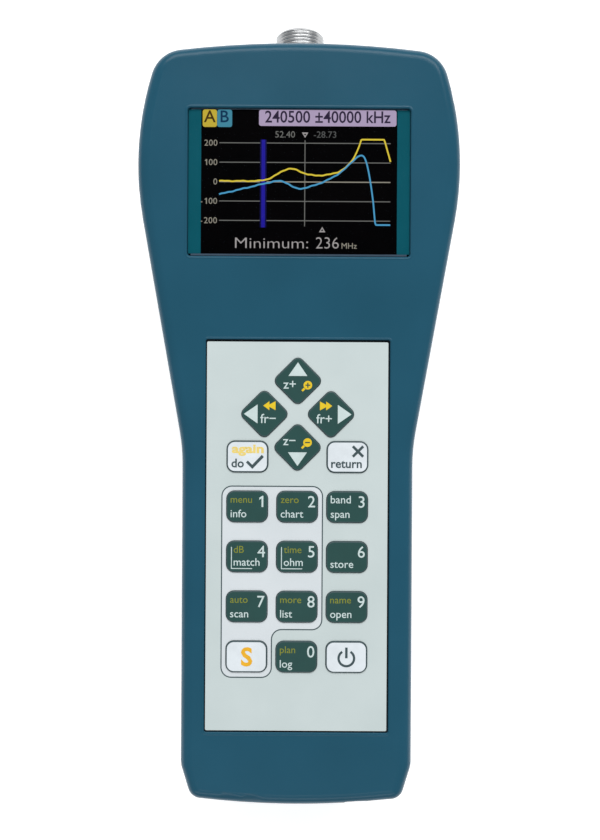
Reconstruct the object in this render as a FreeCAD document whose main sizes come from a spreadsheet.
import FreeCAD, Part
import math
import os
import re

import Sketcher
from FreeCAD import Placement, Rotation, Vector

# A handheld antenna analyzer lying on its back. +Z points out of the display face, +Y towards the antenna
# connector and +X to the right of someone reading the display. The origin is on the rear face, at the
# middle of the housing. All sizes are in millimetres and degrees.

SIZES = {
    # Housing, seen from the front
    "length": 231.0,
    "width": 98.0,
    "thickness": 42.0,
    "split_height": 20.5,
    "crown_radius": 305.0,
    "crown_corner": 10.4,
    "head_radius": 95.0,
    "head_down": 36.8,
    "taper_angle": 10.2,
    "waist_radius": 58.0,
    "grip_width": 70.0,
    "knee_radius": 6.0,
    "knee_up": 12.9,
    "foot_angle": 17.0,
    "foot_corner": 4.2,
    "sole_radius": 265.0,
    # Housing walls
    "wall": 2.2,
    "front_wall": 2.6,
    "rear_wall": 2.4,
    "edge_round": 4.0,
    "rim_bevel": 0.4,
    "lip_inset": 1.2,
    "lip_height": 1.5,
    "lip_gap": 0.05,
    "seam_width": 0.4,
    "seam_depth": 0.5,
    # Display
    "display_up": 72.5,
    "window_width": 67.0,
    "window_height": 44.6,
    "window_depth": 1.5,
    "window_corner": 1.0,
    "window_gap": 0.2,
    "lens_thickness": 1.2,
    "ledge_side": 2.2,
    "ledge_end": 0.8,
    "frame_width": 68.0,
    "frame_height": 52.0,
    "frame_depth": 4.0,
    "flange_width": 77.6,
    "flange_height": 42.0,
    "flange_thickness": 1.2,
    "panel_width": 62.4,
    "panel_height": 47.0,
    "panel_thickness": 1.6,
    "backlight_width": 60.4,
    "backlight_height": 45.0,
    "backlight_thickness": 1.4,
    # Keypad
    "keypad_down": 33.8,
    "recess_width": 55.3,
    "recess_height": 118.0,
    "recess_depth": 0.5,
    "recess_corner": 0.6,
    "overlay_gap": 0.35,
    "overlay_thickness": 0.3,
    "key_pitch": 15.0,
    "first_row_down": 10.0,
    "key_width": 12.4,
    "key_height": 9.4,
    "key_corner": 2.4,
    "arrow_side": 10.8,
    "arrow_corner": 1.9,
    "cross_up": 2.8,
    "cross_pitch": 10.0,
    "key_proud": 0.4,
    "key_gap": 0.12,
    "key_flange": 0.35,
    "corner_cut": 0.58,
    "key_flange_thickness": 0.8,
    "plunger_side": 3.0,
    "plunger_length": 0.6,
    "dome_radius": 4.0,
    "dome_height": 0.6,
    "keypad_board_width": 50.0,
    "keypad_board_top": 24.0,
    "keypad_board_bottom": 84.0,
    "keypad_board_thickness": 1.0,
    "keypad_post_side": 21.5,
    "keypad_post_top": 19.5,
    "keypad_post_bottom": 80.0,
    "keypad_post_radius": 2.5,
    # Main board and what stands on it
    "board_thickness": 1.6,
    "board_top": 104.0,
    "board_shoulder": 92.0,
    "board_hip": 45.0,
    "board_neck": 15.0,
    "board_bottom": 110.5,
    "board_top_half": 32.0,
    "board_wide_half": 41.0,
    "board_neck_half": 25.0,
    "board_foot_half": 22.0,
    "board_post_side": 36.0,
    "board_post_up": 86.0,
    "board_post_low": 50.0,
    "board_post_radius": 3.0,
    "shield_width": 36.0,
    "shield_length": 40.0,
    "shield_height": 6.0,
    "shield_up": 76.0,
    "shield_wall": 0.3,
    "processor_side": 14.0,
    "processor_height": 1.4,
    "processor_up": 8.0,
    "memory_width": 12.0,
    "memory_length": 8.0,
    "memory_height": 1.1,
    "memory_down": 10.0,
    "beeper_radius": 6.0,
    "beeper_height": 4.0,
    "beeper_down": 30.0,
    "socket_thickness": 3.0,
    "socket_height": 2.0,
    "display_socket_width": 24.0,
    "display_socket_up": 40.0,
    "keypad_socket_width": 16.0,
    "keypad_socket_up": 28.0,
    "ribbon_thickness": 0.3,
    "ribbon_margin": 2.0,
    "ribbon_lap": 6.0,
    # Data socket at the foot
    "usb_width": 7.7,
    "usb_height": 3.9,
    "usb_length": 9.2,
    "usb_set_back": 1.6,
    "usb_wall": 0.4,
    "usb_tongue_width": 3.6,
    "usb_tongue_height": 1.2,
    "usb_mouth_depth": 7.0,
    "usb_slot_gap": 0.6,
    # Antenna connector
    "thread_radius": 7.94,
    "barrel_length": 9.8,
    "barrel_lead": 0.8,
    "relief_start": 0.2,
    "relief_width": 0.8,
    "relief_depth": 0.65,
    "barrel_gap": 0.11,
    "bore_radius": 4.1,
    "bore_depth": 9.6,
    "bore_mouth": 1.6,
    "flange_side": 20.0,
    "connector_flange": 2.4,
    "flange_play": 0.2,
    "neck_radius": 4.9,
    "neck_length": 6.2,
    "contact_radius": 1.52,
    "contact_bore": 0.83,
    "contact_bore_depth": 6.0,
    "contact_set_back": 1.9,
    "tail_radius": 0.8,
    "tail_length": 5.0,
    "rib_half": 15.0,
    "rib_thickness": 2.0,
    # Battery bay and its sliding cover
    "cell_radius": 7.2,
    "cell_length": 49.5,
    "cell_pitch": 14.6,
    "nub_radius": 2.75,
    "nub_length": 1.0,
    "bay_gap": 0.2,
    "bay_roof": 1.2,
    "bay_wall": 1.6,
    "bay_top": 44.5,
    "spring_length": 4.5,
    "spring_wide": 3.6,
    "spring_narrow": 2.4,
    "plate_side": 12.0,
    "plate_thickness": 0.5,
    "cover_width": 47.8,
    "cover_top": 41.2,
    "cover_thickness": 1.7,
    "cover_recess": 0.25,
    "cover_inset": 0.8,
    "cover_bevel": 1.6,
    "slide_gap": 0.1,
    "tongue_reach": 1.2,
    "tongue_thickness": 0.9,
    "tongue_stop": 4.0,
    "bay_flange": 4.0,
    "bay_flange_margin": 3.0,
    "grip_groove_length": 30.0,
    "grip_groove_width": 1.0,
    "grip_groove_depth": 0.4,
    "grip_groove_pitch": 2.4,
    "grip_groove_down": 70.0,
    # Screws
    "head_screw_side": 39.0,
    "head_screw_up": 97.5,
    "grip_screw_side": 29.6,
    "grip_screw_high": 4.0,
    "grip_screw_low": 98.0,
    "boss_radius": 3.3,
    "boss_gap": 0.15,
    "case_screw_recess": 1.2,
    "case_screw_head": 2.6,
    "case_screw_head_height": 2.2,
    "case_screw_radius": 1.5,
    "case_screw_length": 26.0,
    "case_screw_gap": 0.2,
}

DERIVED = {
    "front_inside": "thickness - front_wall",
    "keypad_floor": "thickness - recess_depth",
    "overlay_top": "keypad_floor + overlay_thickness",
    "key_top": "overlay_top + key_proud",
    "flange_bottom": "front_inside - key_flange_thickness",
    "keypad_board_face": "flange_bottom - plunger_length - dome_height",
    "keypad_board_back": "keypad_board_face - keypad_board_thickness",
    "ledge": "thickness - window_depth",
    "frame_back": "front_inside - frame_depth",
    "panel_back": "front_inside - panel_thickness",
    "board_face": "split_height - tail_radius",
    "board_back": "board_face - board_thickness",
    "wall_inside": "length/2 - wall",
    "flange_front": "wall_inside - flange_play",
    "flange_back": "flange_front - connector_flange",
    "neck_end": "flange_back - neck_length",
    "connector_rim": "length/2 + barrel_length",
    "insulator_face": "connector_rim - bore_depth",
    "relief_near": "length/2 + relief_start",
    "relief_radius": "thread_radius - relief_depth",
    "thread_start": "relief_near + relief_width",
    "bay_half": "1.5*cell_pitch + bay_gap",
    "bay_length": "cell_length + nub_length + spring_length + 2*plate_thickness",
    "bay_bottom": "bay_top + bay_length",
    "bay_ceiling": "board_back - bay_roof",
    "cell_height": "bay_ceiling - cell_radius",
    "channel_half": "cover_width/2 + slide_gap",
    "channel_top": "cover_recess + cover_thickness + slide_gap",
    "tongue_base": "cover_recess + cover_thickness - tongue_thickness",
    "screw_seat": "case_screw_recess + case_screw_head_height",
    "usb_mouth": "length/2 - usb_set_back",
    "usb_middle": "board_face + usb_height/2",
}

LATTICE = [(column, row) for row in (1, 2, 3, 4) for column in (-1, 0, 1)]
RECTANGLES = zip(["enter", "cancel", "1", "2", "3", "4", "5", "6", "7", "8", "9", "function", "0",
                  "power"], [(-1, 0), (1, 0)] + LATTICE)
ARROWS = [("up", (0, 1)), ("left", (-1, 0)), ("right", (1, 0)), ("down", (0, -1))]

# Each key: its name, where it stands, its plan (width, height, corner) and how far the plan is turned.
KEYS = [(name, f"{column}*key_pitch", f"-first_row_down - {row}*key_pitch",
         ("key_width", "key_height", "key_corner"), 0) for name, (column, row) in RECTANGLES]
KEYS += [(name, f"{side_x}*cross_pitch", f"cross_up + {side_y}*cross_pitch",
          ("arrow_side", "arrow_side", "arrow_corner"), 45) for name, (side_x, side_y) in ARROWS]

document = FreeCAD.newDocument("AntennaAnalyzer")
sheet = document.addObject("Spreadsheet::Sheet", "Sizes")
for line, (alias, value) in enumerate(SIZES.items(), 1):
    sheet.set(f"A{line}", alias)
    sheet.set(f"B{line}", str(value))
    sheet.setAlias(f"B{line}", alias)
document.recompute()


# ---- Formulas -------------------------------------------------------------------------------------

def formula(text):
    """The expression for a formula written with the names of SIZES and DERIVED."""
    def expand(match):
        name = match.group(0)
        if name in DERIVED:
            return f"({formula(DERIVED[name])})"
        return f"Sizes.{name}" if name in SIZES else name
    return re.sub(r"[a-z_]\w*", expand, text)


def number(text):
    """The value of such a formula now."""
    return float(sheet.evalExpression(formula(text)))


def bind(item, **values):
    """Binds properties of a document object to formulas."""
    for name, text in values.items():
        item.setExpression(name, formula(text))


def place(item, x="0", y="0", z="0"):
    """Binds an object's position to formulas."""
    for axis, text in zip("xyz", (x, y, z)):
        item.setExpression(f"Placement.Base.{axis}", formula(text))
    return item


# ---- Sketches -------------------------------------------------------------------------------------

def new_body(label, x="0", y="0", z="0", turn=0):
    """A PartDesign body standing at x, y, z, turned about its own Z."""
    body = document.addObject("PartDesign::Body", label)
    body.Placement = Placement(Vector(), Rotation(Vector(0, 0, 1), turn))
    return place(body, x, y, z)


def new_sketch(body, height="0", plane="XY_Plane", x="0", y="0", turn=0):
    """A sketch on one of the body's own origin planes, moved along its normal by height."""
    sketch = body.newObject("Sketcher::SketchObject", "sketch")
    support = next(item for item in body.Origin.OriginFeatures if item.Role == plane)
    sketch.AttachmentSupport = [(support, "")]
    sketch.MapMode = "FlatFace"
    sketch.AttachmentOffset = Placement(Vector(), Rotation(Vector(0, 0, 1), turn))
    for axis, text in zip("xyz", (x, y, height)):
        sketch.setExpression(f"AttachmentOffset.Base.{axis}", formula(text))
    return sketch


def hold(sketch, dimensions):
    """Adds dimensions to a sketch, each a constraint's name, its target and a formula, and binds them."""
    added = [Sketcher.Constraint(kind, *target, number(text)) for kind, *target, text in dimensions]
    for index, (*_, text) in zip(sketch.addConstraint(added), dimensions):
        sketch.setExpression(f"Constraints[{index}]", formula(text))


def relate(sketch, relations):
    """Adds relations without a size, such as tangency."""
    sketch.addConstraint([Sketcher.Constraint(*relation) for relation in relations])


def hold_point(sketch, segment, end, x, y):
    """Fixes a point of a sketch at x, y from its origin."""
    for kind, axis, text in (("DistanceX", -2, x), ("DistanceY", -1, y)):
        if abs(number(text)) < 1e-9:
            relate(sketch, [("PointOnObject", segment, end, axis)])
        else:
            hold(sketch, [(kind, -1, 1, segment, end, text)])


def polygon(sketch, points):
    """A closed chain of straight lines through points given as pairs of formulas."""
    corners = [Vector(number(x), number(y), 0) for x, y in points]
    following = corners[1:] + corners[:1]
    lines = [sketch.addGeometry(Part.LineSegment(a, b), False) for a, b in zip(corners, following)]
    for here, after, (x, y) in zip(lines, lines[1:] + lines[:1], points[1:] + points[:1]):
        relate(sketch, [("Coincident", here, 2, after, 1)])
        hold_point(sketch, after, 1, x, y)
    return sketch


def rectangle(sketch, width, height, x="0", y="0"):
    """A sharp rectangle about x, y."""
    left, right = f"{x} - ({width})/2", f"{x} + ({width})/2"
    low, high = f"{y} - ({height})/2", f"{y} + ({height})/2"
    return polygon(sketch, [(left, low), (right, low), (right, high), (left, high)])


def eight_sided(sketch, width, height, cut):
    """A rectangle about the origin with its corners cut off."""
    half_w, half_h = f"({width})/2", f"({height})/2"
    near_w, near_h = f"(({width})/2 - {cut})", f"(({height})/2 - {cut})"
    return polygon(sketch, [
        (near_w, half_h), (f"-{near_w}", half_h), (f"-{half_w}", near_h), (f"-{half_w}", f"-{near_h}"),
        (f"-{near_w}", f"-{half_h}"), (near_w, f"-{half_h}"), (half_w, f"-{near_h}"),
        (half_w, near_h)])


def rounded(sketch, width, height, radius, x="0", y="0"):
    """A rectangle about x, y with rounded corners."""
    centre_x, centre_y, bend = number(x), number(y), number(radius)
    half_w, half_h = number(width) / 2, number(height) / 2
    quarter = math.pi / 2
    arcs = []
    for turn, (side_x, side_y) in enumerate([(1, 1), (-1, 1), (-1, -1), (1, -1)]):
        middle = Vector(centre_x + side_x * (half_w - bend), centre_y + side_y * (half_h - bend), 0)
        circle = Part.Circle(middle, Vector(0, 0, 1), bend)
        arcs.append(Part.ArcOfCircle(circle, turn * quarter, (turn + 1) * quarter))
    shapes = []
    for arc, after in zip(arcs, arcs[1:] + arcs[:1]):
        shapes += [arc, Part.LineSegment(arc.EndPoint, after.StartPoint)]
    names = list(sketch.addGeometry(shapes, False))
    top, left, bottom, right = names[1::2]
    relate(sketch, [("Tangent", here, 2, after, 1)
                    for here, after in zip(names, names[1:] + names[:1])]
           + [("Horizontal", top), ("Horizontal", bottom), ("Vertical", left), ("Vertical", right)])
    hold(sketch, [("Radius", arc, radius) for arc in names[0::2]] + [
        ("DistanceY", -1, 1, top, 1, f"{y} + ({height})/2"),
        ("DistanceY", -1, 1, bottom, 1, f"{y} - ({height})/2"),
        ("DistanceX", -1, 1, left, 1, f"{x} - ({width})/2"),
        ("DistanceX", -1, 1, right, 1, f"{x} + ({width})/2")])
    return sketch


def circles(sketch, radius, places):
    """A circle of one radius at each place."""
    for x, y in places:
        circle = Part.Circle(Vector(number(x), number(y), 0), Vector(0, 0, 1), number(radius))
        index = sketch.addGeometry(circle, False)
        hold(sketch, [("Radius", index, radius)])
        hold_point(sketch, index, 3, x, y)
    return sketch


def outline_arcs():
    """Centres of the housing's arcs on its right side, and the angles where one meets the next."""
    value = {name: number(name) for name in SIZES}
    taper, foot = math.radians(value["taper_angle"]), math.radians(value["foot_angle"])
    end = value["length"] / 2
    crown = Vector(0, end - value["crown_radius"], 0)
    head = Vector(value["width"] / 2 - value["head_radius"], end - value["head_down"], 0)
    sole = Vector(0, value["sole_radius"] - end, 0)
    knee = Vector(value["grip_width"] / 2 - value["knee_radius"], value["knee_up"] - end, 0)

    # The crown's corner lies inside both the crown and the head, by its own radius.
    to_crown = value["crown_radius"] - value["crown_corner"]
    to_head = value["head_radius"] - value["crown_corner"]
    between = head - crown
    along = (to_crown**2 - to_head**2 + between.Length**2) / (2 * between.Length)
    across = math.sqrt(to_crown**2 - along**2)
    unit = between.normalize()
    corner = crown + unit * along + Vector(unit.y, -unit.x, 0) * across

    # The waist touches the taper's line from outside and the grip's line.
    outward = Vector(math.cos(taper), -math.sin(taper), 0)
    reach = outward.dot(head) + value["head_radius"] + value["waist_radius"]
    waist_x = value["grip_width"] / 2 + value["waist_radius"]
    waist = Vector(waist_x, (reach - outward.x * waist_x) / outward.y, 0)

    # The foot's corner slides down the foot's line until it touches the sole from inside.
    outward = Vector(math.cos(foot), -math.sin(foot), 0)
    start = outward * (outward.dot(knee) + value["knee_radius"] - value["foot_corner"])
    down = Vector(outward.y, -outward.x, 0)
    lead = (start - sole).dot(down)
    rest = (start - sole).Length**2 - (value["sole_radius"] - value["foot_corner"])**2
    heel = start + down * (math.sqrt(lead**2 - rest) - lead)

    def bearing(centre, point):
        return math.atan2(point.y - centre.y, point.x - centre.x)

    at_crown, at_head, at_sole = bearing(crown, corner), bearing(head, corner), bearing(sole, heel)
    side = [("foot", heel, at_sole, -foot), ("knee", knee, -foot, 0.0),
            ("waist", waist, math.pi, math.pi - taper), ("head", head, -taper, at_head),
            ("corner", corner, at_head, at_crown)]
    return crown, sole, side


ARC_RADIUS = {"crown": "crown_radius", "corner": "crown_corner", "head": "head_radius",
              "waist": "waist_radius", "knee": "knee_radius", "foot": "foot_corner",
              "sole": "sole_radius"}
LINE_ANGLE = {"knee": "foot_angle", "waist": None, "head": "taper_angle"}


def outline(sketch, inset="0"):
    """The housing's plan, moved inward by inset. On each side it has a corner, a bulging head, a
    straight taper, a hollow waist, a straight grip, a knee and a foot, and arcs close its two ends."""
    crown, sole, side = outline_arcs()
    mirrored = [(name, Vector(-centre.x, centre.y, 0), math.pi - stop, math.pi - start)
                for name, centre, start, stop in reversed(side)]
    chain = [("sole", sole, math.pi - side[0][2], 2 * math.pi + side[0][2])]
    chain += side + [("crown", crown, side[-1][3], math.pi - side[-1][3])] + mirrored

    radius = {name: f"{size} {'+' if name == 'waist' else '-'} ({inset})"
              for name, size in ARC_RADIUS.items()}
    pieces, found = [], {}
    for name, centre, start, stop in chain:
        circle = Part.Circle(centre, Vector(0, 0, 1), number(radius[name]))
        # The waist is hollow, so its arc is drawn the other way round and travelled backwards.
        low, high, first, last = (stop, start, 2, 1) if name == "waist" else (start, stop, 1, 2)
        index = sketch.addGeometry(Part.ArcOfCircle(circle, low, high), False)
        begin, end = (circle.value(angle) for angle in (start, stop))
        pieces.append((name, index, first, last, begin, end))
        found.setdefault(name, []).append(index)

    joined = []
    for before, here in zip(pieces[-1:] + pieces[:-1], pieces):
        if (here[4] - before[5]).Length > 1e-6:
            line = sketch.addGeometry(Part.LineSegment(before[5], here[4]), False)
            upward = here[4].y > before[5].y
            slope = LINE_ANGLE[here[0] if upward else before[0]]
            if slope:
                sign = "" if upward else "-"
                hold_angle(sketch, line, f"{sign}(90 - {slope})")
            else:
                relate(sketch, [("Vertical", line)])
            joined.append((line, 1, 2))
        joined.append(here[1:4])
    relate(sketch, [("Tangent", here[0], here[2], after[0], after[1])
                    for here, after in zip(joined, joined[1:] + joined[:1])])
    hold(sketch, [("Radius", arc, radius[name]) for name, arcs in found.items() for arc in arcs])
    hold_point(sketch, found["crown"][0], 3, "0", "length/2 - crown_radius")
    hold_point(sketch, found["sole"][0], 3, "0", "sole_radius - length/2")
    for sign, head, knee in zip(("", "-"), found["head"], found["knee"]):
        hold_point(sketch, head, 3, f"{sign}(width/2 - head_radius)", "length/2 - head_down")
        hold_point(sketch, knee, 3, f"{sign}(grip_width/2 - knee_radius)", "knee_up - length/2")
    return sketch


def hold_angle(sketch, line, text):
    """Fixes a line's direction, in degrees from the sketch's X axis."""
    angle = math.radians(number(text))
    index = sketch.addConstraint(Sketcher.Constraint("Angle", line, angle))
    sketch.setExpression(f"Constraints[{index}]", f"({formula(text)}) * 1 deg")


# ---- Features -------------------------------------------------------------------------------------

def pad(body, profile, length, reverse=False):
    """Adds a sketch's area, drawn out along its normal."""
    feature = body.newObject("PartDesign::Pad", "pad")
    feature.Profile = profile
    feature.Reversed = reverse
    bind(feature, Length=length)
    return feature


def pocket(body, profile, depth, along_normal=True):
    """Removes a sketch's area, along its normal or against it."""
    feature = body.newObject("PartDesign::Pocket", "pocket")
    feature.Profile = profile
    feature.Reversed = along_normal
    bind(feature, Length=depth)
    return feature


def revolve(body, profile, axis="H_Axis"):
    """Turns a sketch once round one of its axes."""
    feature = body.newObject("PartDesign::Revolution", "revolution")
    feature.Profile = profile
    feature.ReferenceAxis = (profile, [axis])
    feature.Angle = 360
    return feature


def edges_at(feature, height, x_reach, y_low, y_high):
    """Names of a feature's edges at one height that lie within a rectangle of the plan."""
    feature.recompute(True)
    slack = 1e-4
    names = []
    for index, edge in enumerate(feature.Shape.Edges, 1):
        box = edge.BoundBox
        level = abs(box.ZMin - height) < slack and abs(box.ZMax - height) < slack
        inside = max(-box.XMin, box.XMax) < x_reach + slack
        if level and inside and y_low - slack < box.YMin and box.YMax < y_high + slack:
            names.append(f"Edge{index}")
    return names


def dress(body, kind, feature, names, **sizes):
    """Rounds or bevels edges of a feature."""
    dressing = body.newObject(f"PartDesign::{kind}", kind.lower())
    dressing.Base = (feature, names)
    bind(dressing, **sizes)
    return dressing


def block(name, width, depth, height, x="0", y="0", z="0"):
    """A box, centred on x and y and standing on z."""
    item = document.addObject("Part::Box", name)
    bind(item, Length=width, Width=depth, Height=height)
    return place(item, f"{x} - ({width})/2", f"{y} - ({depth})/2", z)


def rod(name, radius, length, x="0", y="0", z="0"):
    """An upright cylinder standing on x, y, z."""
    item = document.addObject("Part::Cylinder", name)
    bind(item, Radius=radius, Height=length)
    return place(item, x, y, z)


def prism(name, sides, radius, length, x="0", y="0", z="0"):
    """An upright prism with a regular outline, standing on x, y, z."""
    item = document.addObject("Part::Prism", name)
    item.Polygon = sides
    bind(item, Circumradius=radius, Height=length)
    return place(item, x, y, z)


def combine(kind, name, *items):
    """A boolean of several objects, or a group of them that stay separate solids."""
    item = document.addObject(f"Part::{kind}", name)
    if kind == "Cut":
        item.Base, item.Tool = items
    elif kind == "Compound":
        item.Links = list(items)
    else:
        item.Shapes = list(items)
    return item


def both_sides(x, *heights):
    """Places on both sides of the middle, at each height."""
    return [(f"{sign}{x}", y) for y in heights for sign in ("", "-")]


CASE_SCREWS = (both_sides("head_screw_side", "head_screw_up")
               + both_sides("grip_screw_side", "-grip_screw_high", "-grip_screw_low"))
BOARD_POSTS = both_sides("board_post_side", "board_post_up", "board_post_low")
KEYPAD_POSTS = both_sides("keypad_post_side", "keypad_post_top", "-keypad_post_bottom")


# ---- Openings that several pieces share -------------------------------------------------------------

def key_windows(body, height, depth, sharp):
    """Cuts a window for every key, a little larger than the key all round. Its corners are sharp, or
    cut off along the key's own round ones."""
    for _, x, y, (key_width, key_height, key_corner), turn in KEYS:
        window = new_sketch(body, height, x=x, y=y, turn=turn)
        opening = (f"{key_width} + 2*key_gap", f"{key_height} + 2*key_gap")
        if sharp:
            rectangle(window, *opening)
        else:
            eight_sided(window, *opening, f"({key_corner} + key_gap)*corner_cut")
        pocket(body, window, depth)


def connector_seat(body):
    """Cuts the connector's way through the end wall, and through the ribs behind its flange."""
    barrel = circles(new_sketch(body, "-(flange_front - flange_play)", "XZ_Plane"),
                     "thread_radius + barrel_gap", [("0", "split_height")])
    pocket(body, barrel, "2*barrel_length", along_normal=False)
    neck = circles(new_sketch(body, "-neck_end", "XZ_Plane"), "neck_radius + barrel_gap",
                   [("0", "split_height")])
    return pocket(body, neck, "neck_length + connector_flange", along_normal=False)


def usb_slot(body):
    """Cuts the data socket's slot through the foot's end wall."""
    slot = rounded(new_sketch(body, "usb_mouth - 3*usb_set_back", "XZ_Plane"),
                   "usb_width + 2*usb_slot_gap", "usb_height + 2*usb_slot_gap", "usb_slot_gap",
                   y="usb_middle")
    return pocket(body, slot, "6*usb_set_back")


def seat_rib(body, height, length):
    """Adds the rib that traps the connector's flange against the end wall."""
    rib = rectangle(new_sketch(body, height), "2*rib_half", "rib_thickness",
                    y="flange_back - rib_thickness/2")
    return pad(body, rib, length)


# ---- Housing --------------------------------------------------------------------------------------

def front_shell():
    """The front half: a hollow moulding with the display window, the keypad recess, screw bosses, posts
    for the keypad board and a rebate that takes the rear half's lip."""
    body = new_body("front_shell")
    solid = pad(body, outline(new_sketch(body, "split_height")), "thickness - split_height")
    top = number("thickness")
    rim = edges_at(solid, top, number("width"), -number("length"), number("length"))
    dress(body, "Fillet", solid, rim, Radius="edge_round")
    pocket(body, outline(new_sketch(body, "split_height"), "wall"), "front_inside - split_height")
    pocket(body, outline(new_sketch(body, "split_height"), "lip_inset - lip_gap"),
           "lip_height + lip_gap")

    bosses = circles(new_sketch(body, "split_height"), "boss_radius", CASE_SCREWS)
    pad(body, bosses, "front_inside - split_height")
    posts = circles(new_sketch(body, "keypad_board_face"), "keypad_post_radius", KEYPAD_POSTS)
    pad(body, posts, "front_inside - keypad_board_face")
    seat_rib(body, "split_height", "front_inside - split_height")

    window = rounded(new_sketch(body, "ledge"), "window_width", "window_height", "window_corner",
                     y="display_up")
    pocket(body, window, "window_depth")
    opening = rounded(new_sketch(body, "front_inside"), "window_width - 2*ledge_side",
                      "window_height - 2*ledge_end", "window_corner", y="display_up")
    pocket(body, opening, "ledge - front_inside")
    recess = rounded(new_sketch(body, "keypad_floor"), "recess_width", "recess_height",
                     "recess_corner", y="-keypad_down")
    recessed = pocket(body, recess, "recess_depth")
    half, middle = number("window_width/2"), number("display_up")
    rims = edges_at(recessed, top, half, middle - number("window_height/2"),
                    middle + number("window_height/2"))
    middle = -number("keypad_down")
    rims += edges_at(recessed, top, number("recess_width/2"), middle - number("recess_height/2"),
                     middle + number("recess_height/2"))
    dress(body, "Chamfer", recessed, rims, Size="rim_bevel")

    key_windows(body, "front_inside", "keypad_floor - front_inside", sharp=True)
    connector_seat(body)
    usb_slot(body)
    pocket(body, circles(new_sketch(body, "split_height"), "case_screw_radius", CASE_SCREWS),
           "screw_seat + case_screw_length - split_height")
    return body


def rear_shell():
    """The rear half: a tray with a lip, screw bosses, board posts, the battery bay and the channel that
    its cover slides in."""
    body = new_body("rear_shell")
    solid = pad(body, outline(new_sketch(body)), "split_height")
    rim = edges_at(solid, 0, number("width"), -number("length"), number("length"))
    dress(body, "Fillet", solid, rim, Radius="edge_round")
    pocket(body, outline(new_sketch(body, "rear_wall"), "wall"), "split_height - rear_wall")
    lip = new_sketch(body, "split_height")
    outline(lip, "lip_inset")
    pad(body, outline(lip, "wall"), "lip_height")
    pocket(body, circles(new_sketch(body, "split_height"), "boss_radius + boss_gap", CASE_SCREWS),
           "lip_height")
    seam = new_sketch(body, "split_height - seam_width")
    outline(seam, "-seam_depth")
    pocket(body, outline(seam, "seam_depth"), "seam_width")

    bosses = circles(new_sketch(body, "rear_wall"), "boss_radius", CASE_SCREWS)
    pad(body, bosses, "split_height - rear_wall")
    posts = circles(new_sketch(body, "rear_wall"), "board_post_radius", BOARD_POSTS)
    pad(body, posts, "board_back - rear_wall")
    seat_rib(body, "rear_wall", "split_height - rear_wall")

    flange_low, flange_high = "-(wall_inside - wall)", "-(cover_top - bay_flange_margin)"
    flange = rectangle(new_sketch(body, "rear_wall"), "2*(channel_half + bay_flange_margin)",
                       f"{flange_high} - ({flange_low})", y=f"({flange_high} + ({flange_low}))/2")
    pad(body, flange, "bay_flange - rear_wall")
    walls = rectangle(new_sketch(body, "rear_wall"), "2*(bay_half + bay_wall)",
                      "bay_length + 2*bay_wall", y="-(bay_top + bay_bottom)/2")
    pad(body, walls, "board_back - rear_wall")
    bay = rectangle(new_sketch(body), "2*bay_half", "bay_length", y="-(bay_top + bay_bottom)/2")
    pocket(body, bay, "bay_ceiling")

    run = "length/2 - cover_top + 2*slide_gap"
    middle = "-(length/2 + cover_top)/2"
    channel = rectangle(new_sketch(body), "2*channel_half", run, y=middle)
    pocket(body, channel, "channel_top")
    grooves = rectangle(new_sketch(body, "tongue_base - slide_gap"),
                        "2*(channel_half + tongue_reach)", run, y=middle)
    pocket(body, grooves, "tongue_thickness + 2*slide_gap")

    connector_seat(body)
    usb_slot(body)
    pocket(body, circles(new_sketch(body), "case_screw_head + case_screw_gap", CASE_SCREWS),
           "screw_seat")
    pocket(body, circles(new_sketch(body, "screw_seat"), "case_screw_radius + case_screw_gap",
                         CASE_SCREWS), "split_height - screw_seat")
    return body


def battery_cover():
    """The cover: a plate with a tongue along each side, an end that follows the sole and finger grooves
    on its outer face."""
    body = new_body("battery_cover")
    plate = new_sketch(body, "cover_recess")
    half, top, bottom = number("cover_width/2"), -number("cover_top"), -number("length/2 - cover_inset")
    reach = number("sole_radius - cover_inset")
    centre = Vector(0, bottom + reach, 0)
    low = centre.y - math.sqrt(reach**2 - half**2)
    spread = math.asin(half / reach)
    corners = [Vector(half, low, 0), Vector(half, top, 0), Vector(-half, top, 0), Vector(-half, low, 0)]
    lines = [plate.addGeometry(Part.LineSegment(a, b), False) for a, b in zip(corners, corners[1:])]
    circle = Part.Circle(centre, Vector(0, 0, 1), reach)
    down = 1.5 * math.pi
    arc = plate.addGeometry(Part.ArcOfCircle(circle, down - spread, down + spread), False)
    chain = lines + [arc]
    relate(plate, [("Coincident", here, 2, after, 1)
                   for here, after in zip(chain, chain[1:] + chain[:1])]
           + [("Vertical", lines[0]), ("Vertical", lines[2])])
    hold_point(plate, lines[1], 1, "cover_width/2", "-cover_top")
    hold_point(plate, lines[1], 2, "-cover_width/2", "-cover_top")
    hold(plate, [("Radius", arc, "sole_radius - cover_inset")])
    hold_point(plate, arc, 3, "0", "sole_radius - length/2")
    slab = pad(body, plate, "cover_thickness")
    edge = edges_at(slab, number("cover_recess"), half, bottom, number("-length/2 + wall"))
    dress(body, "Chamfer", slab, edge, Size="cover_bevel")

    run = "length/2 - tongue_stop - cover_top"
    tongues = rectangle(new_sketch(body, "tongue_base"), "cover_width + 2*tongue_reach", run,
                        y="-(length/2 - tongue_stop + cover_top)/2")
    pad(body, tongues, "tongue_thickness")
    groove = rectangle(new_sketch(body, "cover_recess"), "grip_groove_length", "grip_groove_width",
                       y="-grip_groove_down")
    cut = pocket(body, groove, "grip_groove_depth")
    pattern = body.newObject("PartDesign::LinearPattern", "grooves")
    pattern.Originals = [cut]
    pattern.Direction = (groove, ["V_Axis"])
    pattern.Occurrences = 7
    bind(pattern, Length="6*grip_groove_pitch")
    body.Tip = pattern
    return body


# ---- Display --------------------------------------------------------------------------------------

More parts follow.
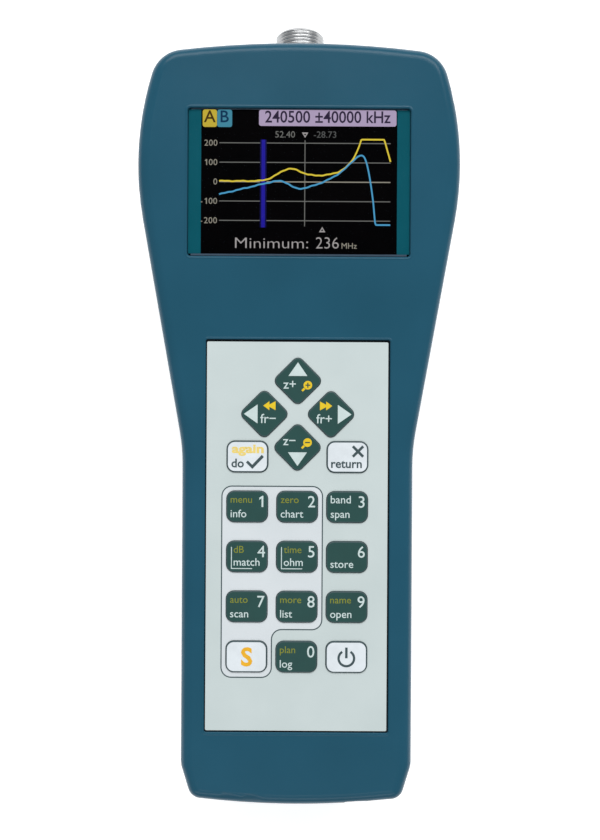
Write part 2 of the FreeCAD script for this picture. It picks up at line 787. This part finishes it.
def display_window():
    """The clear lens that lies on the window's ledge."""
    body = new_body("display_window", y="display_up", z="ledge")
    lens = rounded(new_sketch(body), "window_width - 2*window_gap", "window_height - 2*window_gap",
                   "window_corner - window_gap")
    pad(body, lens, "lens_thickness")
    return body


def display_frame():
    """The metal tray of the display, with a flange that seats it behind the window and pockets for its
    two plates."""
    body = new_body("display_frame", y="display_up", z="frame_back")
    pad(body, rectangle(new_sketch(body), "frame_width", "frame_height"), "frame_depth")
    flange = rectangle(new_sketch(body, "frame_depth - flange_thickness"), "flange_width",
                       "flange_height")
    pad(body, flange, "flange_thickness")
    panel = rectangle(new_sketch(body, "frame_depth - panel_thickness"), "panel_width", "panel_height")
    pocket(body, panel, "panel_thickness")
    light = rectangle(new_sketch(body, "frame_depth - panel_thickness - backlight_thickness"),
                      "backlight_width", "backlight_height")
    pocket(body, light, "backlight_thickness")
    return body


def ribbon(name, width, socket, low, high, back):
    """A flat ribbon: a strip against a board's or a tray's back, from low to high, and a fall that
    hangs from it down to the socket."""
    strip = block(f"{name}_strip", width, f"{high} - ({low})", "ribbon_thickness",
                  y=f"({high} + ({low}))/2", z=f"{back} - ribbon_thickness")
    fall = block(f"{name}_fall", width, "ribbon_thickness", f"{back} - board_face - socket_height",
                 y=socket, z="board_face + socket_height")
    return combine("MultiFuse", name, strip, fall)


# ---- Keypad ---------------------------------------------------------------------------------------

def keypad_overlay():
    """The printed sheet round the keys."""
    body = new_body("keypad_overlay")
    sheet_area = rounded(new_sketch(body, "keypad_floor"), "recess_width - 2*overlay_gap",
                         "recess_height - 2*overlay_gap", "recess_corner", y="-keypad_down")
    pad(body, sheet_area, "overlay_thickness")
    key_windows(body, "keypad_floor", "overlay_thickness", sharp=False)
    return body


def key(name, x, y, plan, turn):
    """A key: a cap that comes through its window, a flange that holds it in, and a plunger."""
    width, height, corner = plan
    body = new_body(f"key_{name}", x, y, "flange_bottom", turn)
    pad(body, rectangle(new_sketch(body, "-plunger_length"), "plunger_side", "plunger_side"),
        "plunger_length")
    flange = eight_sided(new_sketch(body), f"{width} + 2*key_flange", f"{height} + 2*key_flange",
                         f"{corner}*corner_cut")
    pad(body, flange, "key_flange_thickness")
    cap = rounded(new_sketch(body, "key_flange_thickness"), width, height, corner)
    pad(body, cap, "key_top - front_inside")
    return body


def key_domes():
    """The six-sided spring dome under each key's plunger."""
    domes = [prism(f"dome_{name}", 6, "dome_radius", "dome_height", x, y, "keypad_board_face")
             for name, x, y, _, _ in KEYS]
    return combine("Compound", "key_domes", *domes)


# ---- Boards ---------------------------------------------------------------------------------------

def main_board():
    """The board that runs the whole length of the housing, from the connector to the data socket."""
    body = new_body("main_board", z="board_back")
    half = [("board_foot_half", "-board_bottom"), ("board_foot_half", "-grip_screw_low"),
            ("board_neck_half", "-grip_screw_low + board_neck_half - board_foot_half"),
            ("board_neck_half", "board_neck"), ("board_wide_half", "board_hip"),
            ("board_wide_half", "board_shoulder"), ("board_top_half", "board_shoulder"),
            ("board_top_half", "board_top")]
    mirrored = [(f"-{x}", y) for x, y in reversed(half)]
    pad(body, polygon(new_sketch(body), half + mirrored), "board_thickness")
    return body


def rf_shield():
    """The pressed cover over the measuring bridge, open towards the board."""
    body = new_body("rf_shield", y="shield_up", z="board_face")
    pad(body, rectangle(new_sketch(body), "shield_width", "shield_length"), "shield_height")
    hollow = rectangle(new_sketch(body), "shield_width - 2*shield_wall",
                       "shield_length - 2*shield_wall")
    pocket(body, hollow, "shield_height - shield_wall")
    return body


def board_parts():
    """The packages, sockets and beeper that stand on the main board."""
    return [
        block("processor", "processor_side", "processor_side", "processor_height",
              y="processor_up", z="board_face"),
        block("memory", "memory_width", "memory_length", "memory_height", y="-memory_down",
              z="board_face"),
        rod("beeper", "beeper_radius", "beeper_height", y="-beeper_down", z="board_face"),
        block("display_socket", "display_socket_width", "socket_thickness", "socket_height",
              y="display_socket_up", z="board_face"),
        block("keypad_socket", "keypad_socket_width", "socket_thickness", "socket_height",
              y="keypad_socket_up", z="board_face"),
    ]


def usb_socket():
    """The data socket's metal shell, open at the foot, and the tongue inside it."""
    middle = "-(usb_mouth - usb_length/2)"
    outer = block("usb_outer", "usb_width", "usb_length", "usb_height", y=middle, z="board_face")
    inner = block("usb_inner", "usb_width - 2*usb_wall", "usb_mouth_depth", "usb_height - 2*usb_wall",
                  y="-(usb_mouth - usb_mouth_depth/2)", z="board_face + usb_wall")
    tongue = block("usb_tongue", "usb_tongue_width", "usb_mouth_depth - usb_wall",
                   "usb_tongue_height", y="-(usb_mouth - (usb_mouth_depth + usb_wall)/2)",
                   z="usb_middle - usb_tongue_height/2")
    return [combine("Cut", "usb_shell", outer, inner), tongue]


# ---- Antenna connector -------------------------------------------------------------------------------

def connector():
    """The coaxial jack: its metal body with a square flange, the insulator and the centre contact."""
    jack = new_body("connector_body", z="split_height")
    wall = [("neck_end", "bore_radius"), ("neck_end", "neck_radius"),
            ("flange_front - connector_flange/2", "neck_radius"),
            ("flange_front - connector_flange/2", "thread_radius"),
            ("relief_near", "thread_radius"), ("relief_near", "relief_radius"),
            ("thread_start", "relief_radius"), ("thread_start", "thread_radius"),
            ("connector_rim - barrel_lead", "thread_radius"),
            ("connector_rim", "thread_radius - barrel_lead"),
            ("connector_rim", "bore_radius + bore_mouth"),
            ("connector_rim - bore_mouth", "bore_radius")]
    revolve(jack, polygon(new_sketch(jack, plane="YZ_Plane"), wall))
    flange = rounded(new_sketch(jack, "-flange_front", "XZ_Plane"), "flange_side", "flange_side",
                     "barrel_lead")
    circles(flange, "bore_radius", [("0", "0")])
    pad(jack, flange, "connector_flange")

    ring = new_body("connector_insulator", z="split_height")
    section = [("neck_end", "contact_radius"), ("neck_end", "bore_radius"),
               ("insulator_face", "bore_radius"), ("insulator_face", "contact_radius")]
    revolve(ring, polygon(new_sketch(ring, plane="YZ_Plane"), section))

    pin = new_body("connector_contact", z="split_height")
    tip = "connector_rim - contact_set_back"
    section = [("neck_end - tail_length", "0"), ("neck_end - tail_length", "tail_radius"),
               ("neck_end", "tail_radius"), ("neck_end", "contact_radius"), (tip, "contact_radius"),
               (tip, "contact_bore"), (f"{tip} - contact_bore_depth", "contact_bore"),
               (f"{tip} - contact_bore_depth", "0")]
    revolve(pin, polygon(new_sketch(pin, plane="YZ_Plane"), section))
    return [jack, ring, pin]


# ---- Batteries --------------------------------------------------------------------------------------

def batteries():
    """Three cells side by side, each turned round from its neighbour, with a spring at the flat end and
    a plate at both ends."""
    cells, springs, plates = [], [], []
    near, far = "-bay_bottom", "-bay_top"
    for index, lane in enumerate((-1, 0, 1)):
        flipped = index % 2 == 1
        x = f"{lane}*cell_pitch"
        cell = new_body(f"battery_{index + 1}", x, "0", "cell_height")
        flat, tip = f"{near} + plate_thickness + spring_length", f"{far} - plate_thickness"
        shoulder, foot, base = f"{tip} - nub_length", f"{near} + plate_thickness", flat
        if flipped:
            flat, tip = f"{far} - plate_thickness - spring_length", f"{near} + plate_thickness"
            shoulder, foot, base = f"{tip} + nub_length", f"{far} - plate_thickness", flat
        section = [(flat, "0"), (flat, "cell_radius"), (shoulder, "cell_radius"),
                   (shoulder, "nub_radius"), (tip, "nub_radius"), (tip, "0")]
        revolve(cell, polygon(new_sketch(cell, plane="YZ_Plane"), section))
        cells.append(cell)

        spring = new_body(f"spring_{index + 1}", x, "0", "cell_height")
        section = [(foot, "0"), (foot, "spring_wide"), (base, "spring_narrow"), (base, "0")]
        revolve(spring, polygon(new_sketch(spring, plane="YZ_Plane"), section))
        springs.append(spring)
        for end, y in (("near", f"{near} + plate_thickness/2"), ("far", f"{far} - plate_thickness/2")):
            plates.append(block(f"plate_{end}_{index + 1}", "plate_side", "plate_thickness",
                                "plate_side", x, y, "cell_height - plate_side/2"))
    return cells + [combine("Compound", "battery_springs", *springs),
                    combine("Compound", "battery_plates", *plates)]


# ---- Screws -----------------------------------------------------------------------------------------

def case_screws():
    """The screws that close the housing, kept together as separate solids. Each has a six-sided head
    and an eight-sided shank."""
    screws = []
    for index, (x, y) in enumerate(CASE_SCREWS):
        head = prism(f"screw_head_{index}", 6, "case_screw_head", "case_screw_head_height", x, y,
                     "screw_seat - case_screw_head_height")
        shank = prism(f"screw_shank_{index}", 8, "case_screw_radius", "case_screw_length", x, y,
                      "screw_seat")
        screws.append(combine("MultiFuse", f"screw_{index}", head, shank))
    return combine("Compound", "case_screws", *screws)


# ---- The whole --------------------------------------------------------------------------------------

nodes = [front_shell(), rear_shell(), battery_cover(), display_window(), display_frame(),
         block("display_panel", "panel_width", "panel_height", "panel_thickness", y="display_up",
               z="panel_back"),
         block("backlight_plate", "backlight_width", "backlight_height", "backlight_thickness",
               y="display_up", z="panel_back - backlight_thickness"),
         ribbon("display_ribbon", "display_socket_width - ribbon_margin", "display_socket_up",
                "display_socket_up - ribbon_thickness/2",
                "display_up - frame_height/2 + ribbon_lap", "frame_back"),
         keypad_overlay(), *(key(*station) for station in KEYS), key_domes(),
         block("keypad_board", "keypad_board_width", "keypad_board_top + keypad_board_bottom",
               "keypad_board_thickness", y="(keypad_board_top - keypad_board_bottom)/2",
               z="keypad_board_back"),
         ribbon("keypad_ribbon", "keypad_socket_width - ribbon_margin", "keypad_socket_up",
                "keypad_board_top - ribbon_lap", "keypad_socket_up + ribbon_thickness/2",
                "keypad_board_back"),
         main_board(), rf_shield(), *board_parts(), *usb_socket(), *connector(), *batteries(),
         case_screws()]
document.recompute()

for item in document.Objects:
    if {"Invalid", "Error"} & set(item.State):
        raise RuntimeError(f"{item.Label} failed to compute: {item.State}")
    if item.isDerivedFrom("PartDesign::Pocket"):
        before = item.BaseFeature.Shape.Volume
        if before - item.Shape.Volume < 1e-3:
            raise RuntimeError(f"{item.Label} cuts nothing")
for item in nodes:
    if item.Shape.isNull() or not item.Shape.isValid():
        raise RuntimeError(f"{item.Label} has no valid shape")

os.makedirs("parts", exist_ok=True)
for item in nodes:
    item.Shape.exportStep(f"parts/{item.Label}.step")
    print(f"{item.Label:22s} {len(item.Shape.Solids):3d} solids {item.Shape.Volume / 1000:9.3f} cm3")
